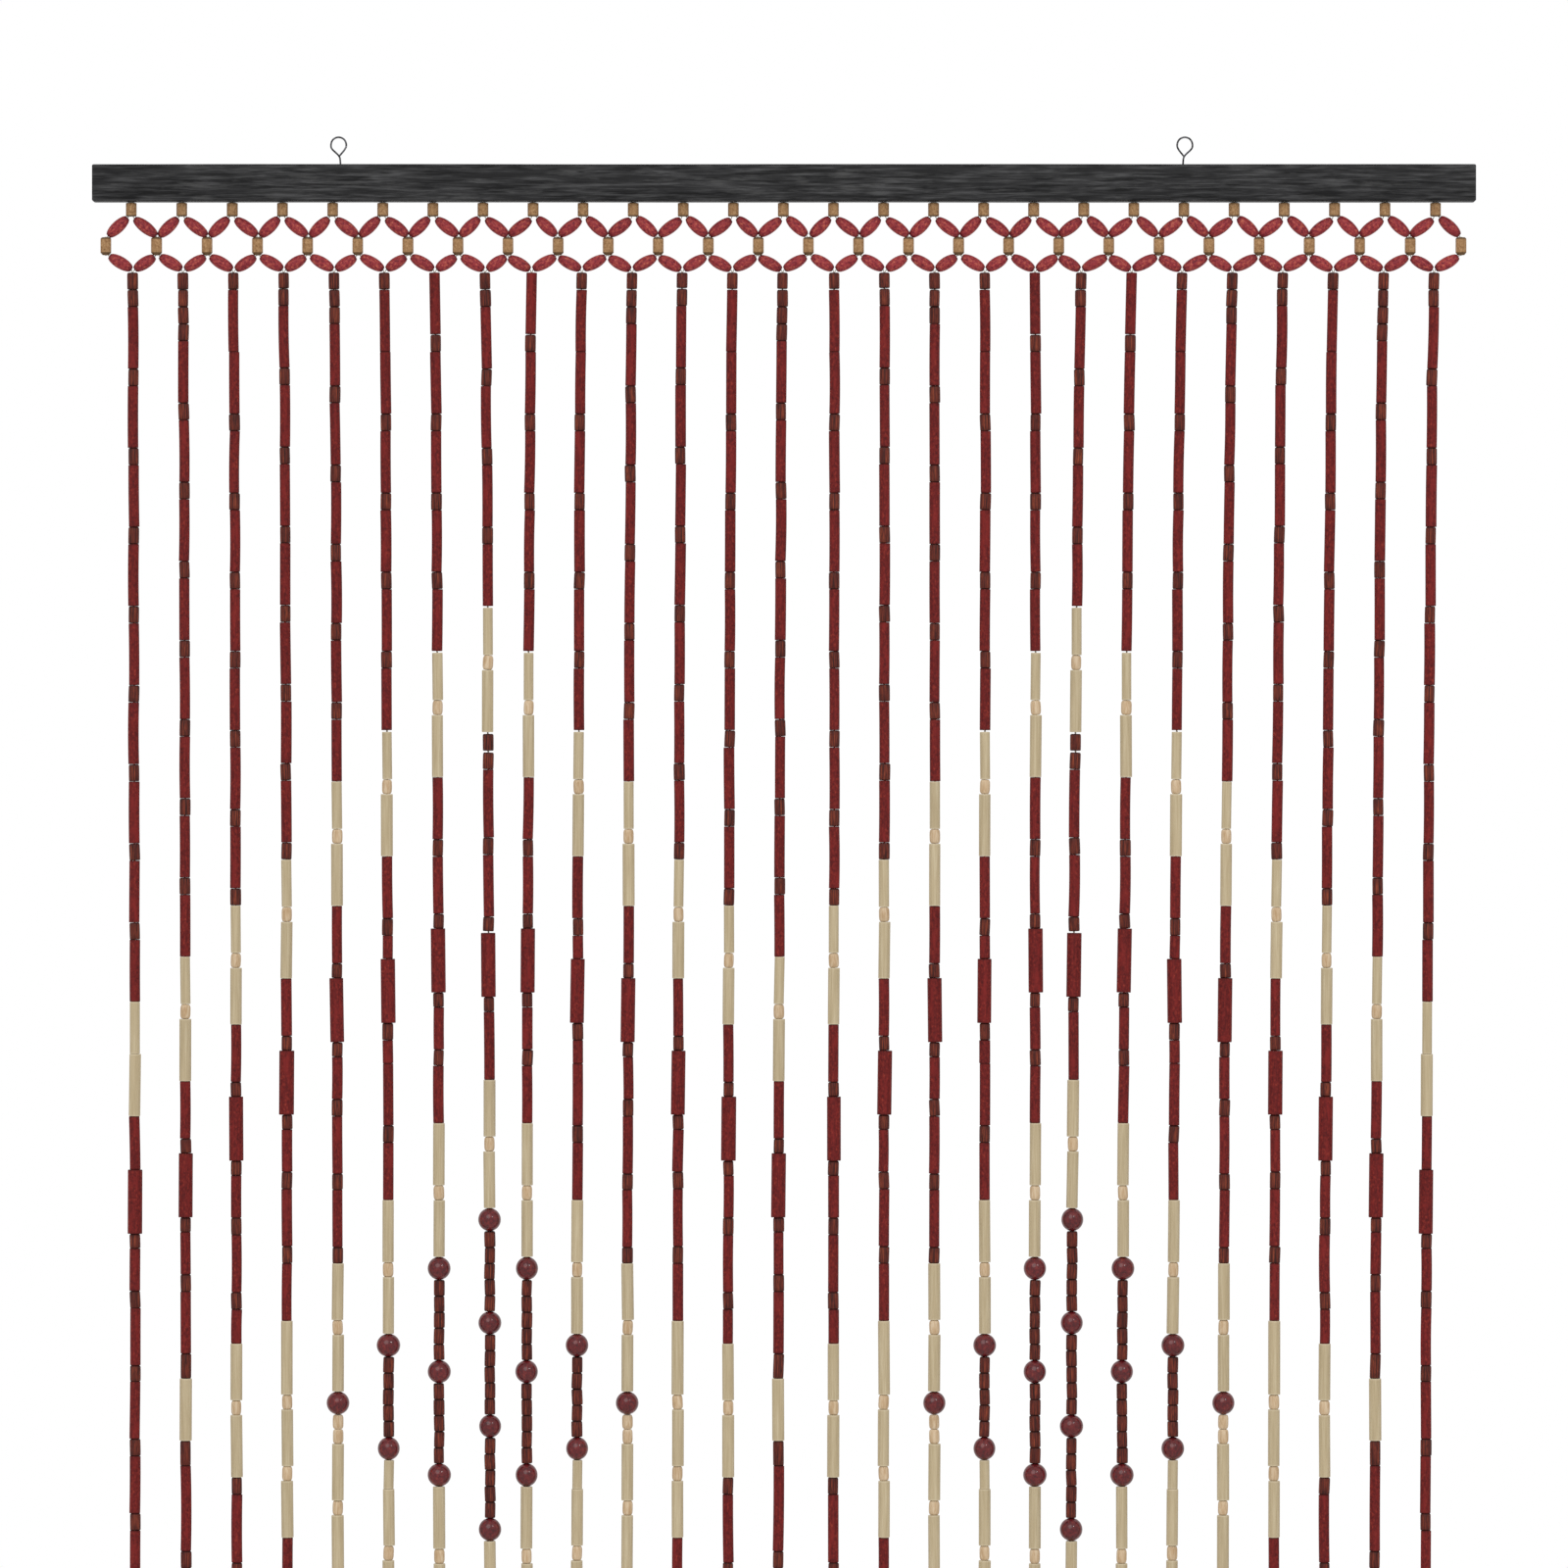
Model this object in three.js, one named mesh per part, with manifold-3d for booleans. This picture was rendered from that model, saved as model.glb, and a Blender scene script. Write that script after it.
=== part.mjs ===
// A beaded door curtain: a stained wooden rail that hangs by two wire screw eyes, a net of oval
// beads under it, and a row of beaded strands. Millimetres, +Z up, the front faces -Y.
// The origin lies above the middle of the rail, at the height where the hooks bear in the eyes.
import * as THREE from "three";
import { mergeVertices } from "three/addons/utils/BufferGeometryUtils.js";
import Module from "manifold-3d";

// Rail
const RAIL_LENGTH = 900;
const RAIL_DEPTH = 18;
const RAIL_HEIGHT = 24.2;
const RAIL_CHAMFER = 0.8;
const RAIL_TOP = -17.3;
const RAIL_UNDERSIDE = RAIL_TOP - RAIL_HEIGHT;

// Screw eyes
const LEFT_EYE_X = -290;
const RIGHT_EYE_X = 261;
const SHANK_OFFSET = 1.1;
const WIRE_RADIUS = 0.6;
const LOOP_RADIUS = 5;
const LOOP_CENTRE = WIRE_RADIUS - LOOP_RADIUS;
const NECK_HEIGHT = -11.6;
const EYE_TIP = RAIL_TOP - 10;
const EYE_STEPS = 40;
const PILOT_RADIUS = 1.3;
const PILOT_DEPTH = 10.5;

// Strands and the net that carries them
const STRANDS = 27;
const PITCH = 32.6;
const PEAKS = [7, 19];
const SIDES = 6;
const TOP_GAP = 0.6;
const TAN_RADIUS = 3.5;
const TAN_CHAMFER = 0.8;
const SPACER_BOTTOM = RAIL_UNDERSIDE - 9.4;
const MIDDLE_TOP = RAIL_UNDERSIDE - 23.5;
const MIDDLE_BOTTOM = RAIL_UNDERSIDE - 34.3;
const STRAND_TOP = RAIL_UNDERSIDE - 46.1;
const STRAND_BOTTOM = RAIL_TOP - 2000;
const OVAL_RADIUS = 3.8;
const OVAL_END_RADIUS = 1.3;
const NET_GAP = 0.35;
const STRING_RADIUS = 0.6;
const STRING_STUB = 2;
const STRING_HOLE_RADIUS = 1.5;
const STRING_HOLE_DEPTH = 4;
const BEAD_GAP = 0.5;
const BEAD_CHAMFER = 0.8;
const KNOT_RADIUS = 1.6;
const KNOT_LENGTH = 3;

// Bead kinds by letter: how long each is on the string.
const BEAD_LENGTH = {
  S: 11.1, // barrel
  s: 10.45, // barrel between balls
  q: 9.5, // short barrel beside a wide tube
  Z: 16.2, // long barrel
  T: 40.4, // red tube, and the shorter cuts of it
  U: 37.4,
  R: 34.8,
  V: 27.6,
  Y: 22.3,
  X: 15.2,
  L: 44.4,
  c: 31, // slim cream tube, and the longer cut of it
  f: 34,
  e: 18.8,
  E: 48.2, // cream tube, and the shorter cuts of it
  C: 40.6,
  D: 37,
  B: 9.5, // rounded natural bead
  W: 41.8, // wide red tube
  O: 15, // ball
  "-": 1, // bare string
};
const SLIM_RADIUS = 3.4;
const WIDE_RADIUS = 4.75;
const BALL_RADIUS = 7.45;
const BALL_POLE_SHARE = 0.45;

// Each pattern is for strands this many places from a peak of the zigzag. crown runs down to the
// zigzag, zigzag is its cream beads, spread leads to the medallion, and heart crosses the medallion.
// Below the heart, spread and zigzag come again upside down.
const PATTERNS = [
  {
    crown: "SS" + "TS".repeat(3) + "T-",
    zigzag: "cBC",
    spread: "-S-SLSTq-WqL",
    heart: "DBD" + "Osssss".repeat(3) + "ODBD",
  },
  {
    crown: "TS".repeat(4) + "T-",
    zigzag: "cBC",
    spread: "TSUqWqVsU",
    heart: "CBD" + "Osssss".repeat(2) + "OCBD",
  },
  { crown: "ST" + "TS".repeat(4) + "T-", zigzag: "cBC", spread: "TSXWSXTSU", heart: "CBDOsssssOeDBD" },
  { crown: "SS" + "ST".repeat(6), zigzag: "cBC", spread: "UqWqVSUsUs", heart: "DBDOBBDBD" },
  { crown: "sS" + "TS".repeat(7), zigzag: "cBD", spread: "UqWqVSUSU", heart: "EBDBD" },
  { crown: "ST" + "TS".repeat(7), zigzag: "cBD", spread: "UqWqVSUS", heart: "YDBCSL" },
  { crown: "SSS" + "ST".repeat(8), zigzag: "cBC", spread: "UqWqVS", heart: "TZCZTX" },
  { crown: "S" + "ST".repeat(9), zigzag: "fC", spread: "RWqVSUsUSU", heart: "S" },
];

const wasm = await Module();
wasm.setup();

const railWood = new THREE.MeshStandardMaterial({ color: 0x37373a, roughness: 0.6, metalness: 0 });
const steel = new THREE.MeshStandardMaterial({ color: 0x8f8f92, roughness: 0.3, metalness: 1 });
const ovalRed = new THREE.MeshStandardMaterial({ color: 0xa83c44, roughness: 0.5, metalness: 0 });
const tanWood = new THREE.MeshStandardMaterial({ color: 0xb08a5c, roughness: 0.6, metalness: 0 });
const barrelWood = new THREE.MeshStandardMaterial({ color: 0x6a3024, roughness: 0.5, metalness: 0 });
const tubeRed = new THREE.MeshStandardMaterial({ color: 0x7e2629, roughness: 0.55, metalness: 0 });

const curtain = new THREE.Group();
curtain.name = "beaded_door_curtain";

function addPiece(name, geometry, material, x = 0, turn = 0) {
  const mesh = new THREE.Mesh(geometry, material);
  mesh.name = name;
  mesh.position.x = x;
  mesh.rotation.z = turn;
  curtain.add(mesh);
}

function toSolid(geometry) {
  const bare = geometry.index ? geometry.toNonIndexed() : geometry.clone();
  bare.deleteAttribute("normal");
  bare.deleteAttribute("uv");
  const merged = mergeVertices(bare, 1e-4);
  return new wasm.Manifold(
    new wasm.Mesh({
      numProp: 3,
      vertProperties: merged.attributes.position.array,
      triVerts: new Uint32Array(merged.index.array),
    }),
  );
}

function toGeometry(solid) {
  const mesh = solid.getMesh();
  const geometry = new THREE.BufferGeometry();
  geometry.setAttribute("position", new THREE.BufferAttribute(mesh.vertProperties, 3));
  geometry.setIndex(new THREE.BufferAttribute(mesh.triVerts, 1));
  return geometry;
}

function joined(geometries) {
  return toGeometry(geometries.map(toSolid).reduce((sum, next) => sum.add(next)));
}

// A turned solid along Z from [radius, height] points given from the bottom up.
function turned(points, sides = SIDES) {
  const profile = points.map(([radius, height]) => new THREE.Vector2(radius, height));
  return new THREE.LatheGeometry(profile, sides, Math.PI / sides).rotateX(Math.PI / 2);
}

function rod(radius, bottom, top) {
  return turned([
    [0, bottom],
    [radius, bottom],
    [radius, top],
    [0, top],
  ]);
}

// An oval bead from one point to another.
function ovalBead(from, to) {
  const half = from.distanceTo(to) / 2;
  const along = to.clone().sub(from).normalize();
  const turn = new THREE.Quaternion().setFromUnitVectors(new THREE.Vector3(0, 0, 1), along);
  const middle = from.clone().add(to).multiplyScalar(0.5);
  return turned([
    [0, -half],
    [OVAL_END_RADIUS, -half],
    [OVAL_RADIUS, 0],
    [OVAL_END_RADIUS, half],
    [0, half],
  ])
    .applyQuaternion(turn)
    .translate(middle.x, middle.y, middle.z);
}

function strandX(index) {
  return (index - (STRANDS - 1) / 2) * PITCH;
}

// One wire: the shank leans to the left at its neck, goes over the loop, and ends in front of itself.
function eyeGeometry() {
  const loopPoint = (degrees, y = 0) => {
    const angle = THREE.MathUtils.degToRad(degrees);
    return new THREE.Vector3(
      LOOP_RADIUS * Math.cos(angle),
      y,
      LOOP_CENTRE + LOOP_RADIUS * Math.sin(angle),
    );
  };
  const inFront = -2.2 * WIRE_RADIUS;
  const path = new THREE.CatmullRomCurve3([
    new THREE.Vector3(SHANK_OFFSET, 0, EYE_TIP),
    new THREE.Vector3(SHANK_OFFSET, 0, RAIL_TOP - 3),
    new THREE.Vector3(SHANK_OFFSET, 0, RAIL_TOP + 2),
    new THREE.Vector3(0.2, 0, NECK_HEIGHT),
    ...[215, 185, 150, 120, 90, 60, 30, -5].map((degrees) => loopPoint(degrees)),
    loopPoint(-35, inFront / 2),
    new THREE.Vector3(1.5, inFront, NECK_HEIGHT + 1),
    new THREE.Vector3(0.4, inFront, NECK_HEIGHT - 0.2),
  ]);
  const section = new THREE.Shape(
    Array.from({ length: SIDES }, (_, corner) => {
      const angle = (corner / SIDES) * 2 * Math.PI;
      return new THREE.Vector2(WIRE_RADIUS * Math.cos(angle), WIRE_RADIUS * Math.sin(angle));
    }),
  );
  return new THREE.ExtrudeGeometry(section, { steps: EYE_STEPS, extrudePath: path });
}

function railGeometry() {
  const y = RAIL_DEPTH / 2;
  const z = RAIL_HEIGHT / 2;
  const c = RAIL_CHAMFER;
  const section = new THREE.Shape(
    [
      [-y + c, -z],
      [y - c, -z],
      [y, -z + c],
      [y, z - c],
      [y - c, z],
      [-y + c, z],
      [-y, z - c],
      [-y, -z + c],
    ].map(([across, up]) => new THREE.Vector2(across, up)),
  );
  const bar = new THREE.ExtrudeGeometry(section, { depth: RAIL_LENGTH, bevelEnabled: false });
  const lengthways = new THREE.Matrix4().makeBasis(
    new THREE.Vector3(0, 1, 0),
    new THREE.Vector3(0, 0, 1),
    new THREE.Vector3(1, 0, 0),
  );
  bar.applyMatrix4(lengthways).translate(-RAIL_LENGTH / 2, 0, RAIL_TOP - RAIL_HEIGHT / 2);
  let solid = toSolid(bar);
  for (const x of [LEFT_EYE_X + SHANK_OFFSET, RIGHT_EYE_X - SHANK_OFFSET]) {
    const pilot = rod(PILOT_RADIUS, RAIL_TOP - PILOT_DEPTH, RAIL_TOP + 1);
    solid = solid.subtract(toSolid(pilot.translate(x, 0, 0)));
  }
  for (let index = 0; index < STRANDS; index++) {
    const hole = rod(STRING_HOLE_RADIUS, RAIL_UNDERSIDE - 1, RAIL_UNDERSIDE + STRING_HOLE_DEPTH);
    solid = solid.subtract(toSolid(hole.translate(strandX(index), 0, 0)));
  }
  return toGeometry(solid);
}

// Tan spacers under the rail, each with the string stub above it, and the upper ovals between them.
function upperNetGeometry() {
  const pieces = [];
  const top = RAIL_UNDERSIDE - TOP_GAP;
  for (let index = 0; index < STRANDS; index++) {
    const x = strandX(index);
    const spacer = turned([
      [0, SPACER_BOTTOM],
      [TAN_RADIUS, SPACER_BOTTOM],
      [TAN_RADIUS, top - TAN_CHAMFER],
      [TAN_RADIUS - TAN_CHAMFER, top],
      [0, top],
    ]);
    const stub = rod(STRING_RADIUS, top - 1, RAIL_UNDERSIDE + STRING_STUB);
    pieces.push(spacer.translate(x, 0, 0), stub.translate(x, 0, 0));
    for (const side of [-1, 1]) {
      const high = new THREE.Vector3(x + side * 0.9, 0, SPACER_BOTTOM + 0.4);
      const low = new THREE.Vector3(x + (side * PITCH) / 2, 0, MIDDLE_TOP + OVAL_END_RADIUS + NET_GAP);
      pieces.push(ovalBead(high, low));
    }
  }
  return joined(pieces);
}

// Tan middle beads, half a pitch to each side of the strands, and the lower ovals below them.
function lowerNetGeometry() {
  const pieces = [];
  for (let index = 0; index <= STRANDS; index++) {
    const middle = rod(TAN_RADIUS, MIDDLE_BOTTOM, MIDDLE_TOP);
    pieces.push(middle.translate(strandX(index - 0.5), 0, 0));
  }
  for (let index = 0; index < STRANDS; index++) {
    for (const side of [-1, 1]) {
      const high = new THREE.Vector3(strandX(index + side * 0.5) - side * 0.9, 0, MIDDLE_BOTTOM + 0.3);
      const low = new THREE.Vector3(strandX(index) + side * 0.4, 0, STRAND_TOP + OVAL_END_RADIUS);
      pieces.push(ovalBead(high, low));
    }
  }
  return joined(pieces);
}

function patternOf(index) {
  const places = Math.min(...PEAKS.map((peak) => Math.abs(peak - index)));
  const { crown, zigzag, spread, heart } = PATTERNS[places];
  const upsideDown = (beads) => [...beads].reverse().join("");
  return crown + zigzag + spread + heart + upsideDown(spread) + upsideDown(zigzag);
}

// Everything below the first bead. The plain run under the pattern reaches down to the knot.
function strandGeometry(beads, top) {
  const above = [
    [0, top],
    [SLIM_RADIUS - BEAD_CHAMFER, top],
    [SLIM_RADIUS, top - BEAD_CHAMFER],
  ];
  let height = top + BEAD_GAP;
  for (const bead of beads) {
    const length = BEAD_LENGTH[bead];
    if (bead === "W") {
      above.push(
        [SLIM_RADIUS, height],
        [WIDE_RADIUS, height],
        [WIDE_RADIUS, height - length],
        [SLIM_RADIUS, height - length],
      );
    }
    if (bead === "O") {
      const flat = BALL_RADIUS * BALL_POLE_SHARE;
      above.push(
        [SLIM_RADIUS, height],
        [BALL_RADIUS, height - length / 2 + flat],
        [BALL_RADIUS, height - length / 2 - flat],
        [SLIM_RADIUS, height - length],
      );
    }
    height -= length;
  }
  above.push(
    [SLIM_RADIUS, STRAND_BOTTOM + KNOT_LENGTH],
    [KNOT_RADIUS, STRAND_BOTTOM],
    [0, STRAND_BOTTOM],
  );
  return turned(above.reverse());
}

function addStrand(index) {
  const number = String(index + 1).padStart(2, "0");
  const [first, ...rest] = patternOf(index);
  const firstBottom = STRAND_TOP - BEAD_LENGTH[first] + BEAD_GAP;
  const topBead = turned([
    [0, firstBottom],
    [SLIM_RADIUS, firstBottom],
    [SLIM_RADIUS, STRAND_TOP - BEAD_CHAMFER],
    [SLIM_RADIUS - BEAD_CHAMFER, STRAND_TOP],
    [0, STRAND_TOP],
  ]);
  const beadMaterial = first === "T" ? tubeRed : barrelWood;
  addPiece("top_bead_" + number, topBead, beadMaterial, strandX(index));
  addPiece("strand_" + number, strandGeometry(rest, firstBottom - BEAD_GAP), tubeRed, strandX(index));
}

addPiece("rail", railGeometry(), railWood);
addPiece("left_screw_eye", eyeGeometry(), steel, LEFT_EYE_X);
addPiece("right_screw_eye", eyeGeometry(), steel, RIGHT_EYE_X, Math.PI);
addPiece("upper_net", upperNetGeometry(), ovalRed);
addPiece("lower_net", lowerNetGeometry(), tanWood);
for (let index = 0; index < STRANDS; index++) {
  addStrand(index);
}

export default curtain;
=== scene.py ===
"""A beaded door curtain: a stained rail on two screw eyes, a net of oval beads, and beaded strands.

Metres, +Z up, the front faces -Y. Bead sizes and patterns are given in millimetres.
"""
import math
import random

import bpy
import numpy as np
from mathutils import Matrix, Vector, noise


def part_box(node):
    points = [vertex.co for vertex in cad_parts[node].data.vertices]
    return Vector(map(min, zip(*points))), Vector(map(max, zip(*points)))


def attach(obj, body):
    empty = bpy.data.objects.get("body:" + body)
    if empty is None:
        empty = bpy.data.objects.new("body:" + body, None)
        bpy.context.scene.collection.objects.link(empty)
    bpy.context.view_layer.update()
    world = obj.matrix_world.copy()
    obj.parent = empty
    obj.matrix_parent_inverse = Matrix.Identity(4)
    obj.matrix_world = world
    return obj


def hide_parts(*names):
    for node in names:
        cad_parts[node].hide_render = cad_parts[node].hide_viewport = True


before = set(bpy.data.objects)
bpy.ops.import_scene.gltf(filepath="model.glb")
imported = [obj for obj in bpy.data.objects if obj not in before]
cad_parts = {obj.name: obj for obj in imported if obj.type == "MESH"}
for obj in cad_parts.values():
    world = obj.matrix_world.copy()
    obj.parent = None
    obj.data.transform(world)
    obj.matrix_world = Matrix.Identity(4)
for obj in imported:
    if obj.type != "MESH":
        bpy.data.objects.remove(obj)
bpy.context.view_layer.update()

MM = 0.001
SEED = 27

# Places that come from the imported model
STRANDS = sum(name.startswith("strand_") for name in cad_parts)
RAIL_LOW, RAIL_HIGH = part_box("rail")
UNDERSIDE = RAIL_LOW.z
STRAND_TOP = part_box("top_bead_01")[1].z
STRAND_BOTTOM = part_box("strand_01")[0].z
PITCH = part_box("top_bead_02")[0].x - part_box("top_bead_01")[0].x

# The net under the rail: its heights in metres, its radii, depths and moves in millimetres
SPACER_TOP = UNDERSIDE - 0.4 * MM
SPACER_BOTTOM = UNDERSIDE - 9.4 * MM
MIDDLE_TOP = UNDERSIDE - 23.1 * MM
MIDDLE_BOTTOM = UNDERSIDE - 34.6 * MM
STUB_HEIGHT = 2 * MM
TAN_RADIUS = 3.55
OVAL_RADIUS = 3.95
OVAL_END_RADIUS = 1.65
UPPER_OVAL_DEPTH = 1.3
LOWER_OVAL_DEPTH = 0.2
# The cones at the top and the bottom of a tan bead, each as its width and its height
SPACER_CONES = ((1.85, 0.45), (0.35, 0.5))
MIDDLE_CONES = ((0.85, 0.9), (1.4, 1.54))
NET_SHIFT = -0.4
NET_STRETCH = 1.1

# The rail, in millimetres: its eased edges, how far its faces are worn down, and its holes
RAIL_EASE = 1.1
RAIL_WEAR = 0.12
RAIL_ROWS = 90
STRING_HOLE_RADIUS = 1.5
STRING_HOLE_DEPTH = 4
PILOT_RADIUS = 1.3
PILOT_DEPTH = 10.5

# Screw eyes, in millimetres from the height where the hooks bear
WIRE_RADIUS = 0.6
LOOP_RADIUS = 5
LOOP_CENTRE = WIRE_RADIUS - LOOP_RADIUS
NECK_HEIGHT = -11.6
SHANK_OFFSET = 1.1
THREAD_PITCH = 1.1
THREAD_DEPTH = 0.42
THREAD_TOP = -18.6
THREAD_RUN_OUT = 1.5
POINT_SHARE = 0.12
POINT_TAPER = 2.2
CUT_END_SHARE = 0.55
CUT_END_ROWS = 6

# String, which is thicker where two threads run side by side
THREAD_RADIUS = 0.35
STUB_THREAD_RADIUS = THREAD_RADIUS * 1.5
PAIR_THREAD_RADIUS = THREAD_RADIUS * 1.6
KNOT_SIZE = 1.15
KNOT_THREAD_RADIUS = 0.42
KNOT_LENGTH = 3

# How far the ends of the strings reach past the beads, and how far apart a pair comes out
SPACER_PAIR = 0.5
STRAND_PAIR = 0.35
MIDDLE_OVERSHOOT = 0.4
STRAND_OVERSHOOT = 0.5
TOP_THREAD_END = 0.3
STRAND_THREAD_START = 0.25

# Beads on a string: the bore, the gaps, and how unevenly they sit
HOLE_RADIUS = 0.95
BEAD_GAP = 0.12
LEAST_PIVOT_GAP = 0.12
MOST_PIVOT_GAP = 0.57
CROOKED = {"wide_tube": 0.5, "red_tube": 0.28, "ball": 0.1}
USUAL_CROOKED = 0.2
NUDGE_SHARE = 0.6
TILT_SHARE = 0.5
TUBE_BOW = 0.008
THINNEST = 0.965
THICKEST = 1.02
FIRST_WOBBLE = 0.05
STRING_WOBBLE = 0.22

# The studio, in metres, and its lights
FLOOR_HALF = 5.0
FLOOR_DROP = 0.04
AMBIENT = 0.76
KEY_STRENGTH = 0.75
KEY_ANGLE = 40
GLINT_POWER = 12
GLINT_SIZE = 0.35

# The camera
LENS = 200.0
SENSOR = 36.0
FRAME_WIDTH = 1.021
CAMERA_HEIGHT = -0.4205

# Bead kinds by letter: family, and length on the string and radius in millimetres
BEADS = {
    "S": ("barrel", 11.1, 3.5),
    "s": ("barrel", 10.45, 3.5),
    "q": ("barrel", 9.5, 3.5),
    "Z": ("barrel", 16.2, 3.5),
    "T": ("red_tube", 40.4, 3.48),
    "U": ("red_tube", 37.4, 3.48),
    "R": ("red_tube", 34.8, 3.48),
    "V": ("red_tube", 27.6, 3.48),
    "Y": ("red_tube", 22.3, 3.48),
    "X": ("red_tube", 15.2, 3.48),
    "L": ("red_tube", 44.4, 3.48),
    "G": ("red_tube", 55.6, 3.48),
    "W": ("wide_tube", 41.8, 4.75),
    "c": ("cream_tube", 31, 3.3),
    "f": ("cream_tube", 34, 3.3),
    "e": ("cream_tube", 18.8, 3.3),
    "E": ("cream_tube", 48.2, 3.85),
    "C": ("cream_tube", 40.6, 3.85),
    "D": ("cream_tube", 37, 3.85),
    "b": ("natural_bead", 9.5, 3.4),
    "B": ("natural_bead", 9.5, 3.4),
    "O": ("ball", 15, 7.45),
    "-": ("bare", 1, 0),
}
SLOTS = {
    "barrel": "barrel_wood",
    "red_tube": "red_tube",
    "wide_tube": "red_tube",
    "cream_tube": "cream_tube",
    "natural_bead": "natural_bead",
    "ball": "maroon_ball",
}

# Each pattern is for strands this many places from a peak of the zigzag. crown runs down to the
# zigzag, zigzag is its cream beads, spread leads to the medallion, and heart crosses the medallion.
# Below the heart, spread and zigzag come again upside down.
PEAKS = (7, 19)
PATTERNS = [
    ("SS" + "TS" * 3 + "T-", "cbC", "-S-SLSTq-WqL", "DBD" + "Osssss" * 3 + "ODBD"),
    ("TS" * 4 + "T-", "cbC", "TSUqWqVsU", "CBD" + "Osssss" * 2 + "OCBD"),
    ("ST" + "TS" * 4 + "T-", "cbC", "TSXWSXTSU", "CBDOsssssOeDBD"),
    ("SS" + "ST" * 6, "cbC", "UqWqVSUsUs", "DBDOBBDBD"),
    ("sS" + "TS" * 7, "cbD", "UqWqVSUSU", "EBDBD"),
    ("ST" + "TS" * 7, "cbD", "UqWqVSUS", "YDBCSL"),
    ("SSS" + "ST" * 8, "cbC", "UqWqVS", "TZCZG"),
    ("S" + "ST" * 9, "fC", "RWqVSUsUSU", "S"),
]
PLAIN_RUN = "TS"
SHORTEST_CUT = 6

# How far runs of strands hang to the side, in millimetres: the first strand of the run, its last,
# and for each of those two its offset at the top, its move just below that, and its bow.
HANGS = [
    (0, 7, (-0.4, 0.5, 1.3), (0.8, 0.9, 2.6)),
    (8, 13, (-1.3, -1.0, -2.4), (-0.9, -0.7, -2.2)),
    (14, 18, (0.0, 0.5, -1.0), (0.3, 0.8, -0.8)),
    (19, 26, (-2.0, -1.0, -5.8), (-0.5, -0.9, -4.8)),
]
SETTLE_DEPTH = 50


def strand_number(index):
    return f"{index + 1:02d}"


def strand_x(index):
    return (index - (STRANDS - 1) / 2) * PITCH


def strand_rng(index):
    return random.Random(f"{SEED} beads {index}")


# --- Meshes ---------------------------------------------------------------------------------------


def perpendiculars(axis, spin=0.0):
    """Two unit vectors at right angles to axis, turned round it by spin."""
    aside = Vector((0, 1, 0)) if abs(axis.y) < 0.9 else Vector((1, 0, 0))
    first = aside.cross(axis).normalized()
    second = axis.cross(first)
    return (
        first * math.cos(spin) + second * math.sin(spin),
        second * math.cos(spin) - first * math.sin(spin),
    )


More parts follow.
